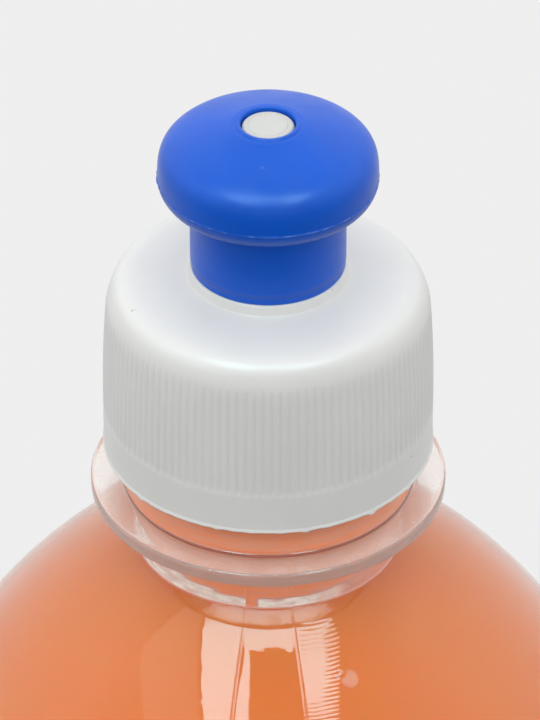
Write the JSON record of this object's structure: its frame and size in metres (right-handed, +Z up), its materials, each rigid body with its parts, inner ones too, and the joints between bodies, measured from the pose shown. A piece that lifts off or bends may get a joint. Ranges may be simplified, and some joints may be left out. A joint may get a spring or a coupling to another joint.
{
  "type": "liquid soap bottle",
  "caption": "Clear round bottle of orange liquid soap with a white ribbed screw cap and a blue push-pull nozzle.",
  "frame": {"origin": "middle of the foot, on the table", "axes": "+Z up along the bottle's axis, +X and +Y square to it; the bottle is round, so no side is the front"},
  "size_m": [0.08, 0.08, 0.2763],
  "materials": {
    "clear_pet": "gloss",
    "orange_soap": "gloss",
    "white_plastic": "satin",
    "blue_plastic": "satin",
    "foam": "matte"
  },
  "bodies": {
    "bottle": {"bottle": "clear_pet", "liquid_soap": "orange_soap"},
    "washer": {"sealing_washer": "foam"},
    "cap": {"cap_body": "white_plastic"},
    "nozzle": {"nozzle": "blue_plastic"}
  },
  "joints": [
    {"name": "cap_lift", "type": "slide", "parent": "bottle", "child": "washer", "axis": [0, 0, 1], "range_m": [0, 0.00636]},
    {"name": "cap_turn", "type": "hinge", "parent": "washer", "child": "cap", "pos_m": [0, 0, 0.2585], "axis": [0, 0, 1], "range_deg": [0, 720]},
    {"name": "nozzle_pull", "type": "slide", "parent": "cap", "child": "nozzle", "axis": [0, 0, 1], "range_m": [0, 0.0045]}
  ],
  "couplings": [
    {"joint": "cap_lift", "follows": "cap_turn", "m_per_rad": 0.00050611}
  ]
}
